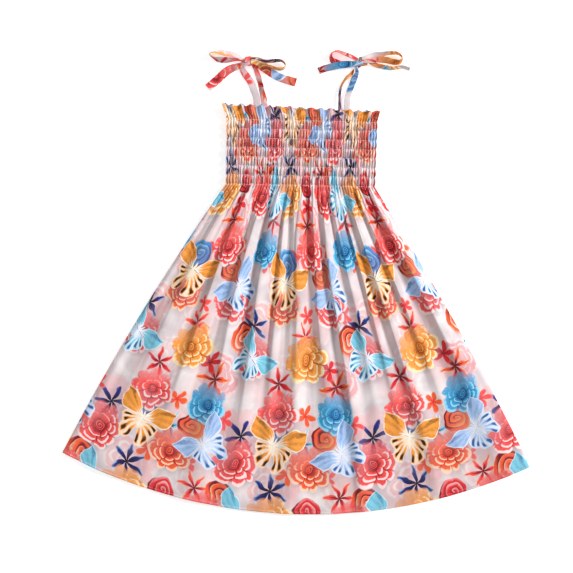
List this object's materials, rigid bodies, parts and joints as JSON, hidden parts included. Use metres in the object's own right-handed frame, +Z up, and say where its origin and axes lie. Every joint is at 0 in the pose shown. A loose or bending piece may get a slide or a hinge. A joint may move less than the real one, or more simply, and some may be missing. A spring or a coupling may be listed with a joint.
{
  "type": "toddler sundress",
  "caption": "Sleeveless toddler sundress laid flat, with a shirred elastic top under a ruffle, straps tied in bows and a full gathered skirt.",
  "frame": {"origin": "on the surface the dress lies on, under the middle of its outline", "axes": "+Z up from the surface through back and front, +Y from the hem to the neck, +X to the right as the front is seen"},
  "size_m": [0.6082, 0.6032, 0.0145],
  "materials": {
    "printed_cloth": "soft matte woven cloth with a floral print",
    "printed_tie": "soft matte woven cloth with a floral print, folded and stitched"
  },
  "bodies": {
    "root": {"front_panel": "printed_cloth", "back_panel": "printed_cloth", "tie_left_front": "printed_tie", "tie_left_back": "printed_tie", "tie_right_front": "printed_tie", "tie_right_back": "printed_tie"}
  },
  "joints": []
}
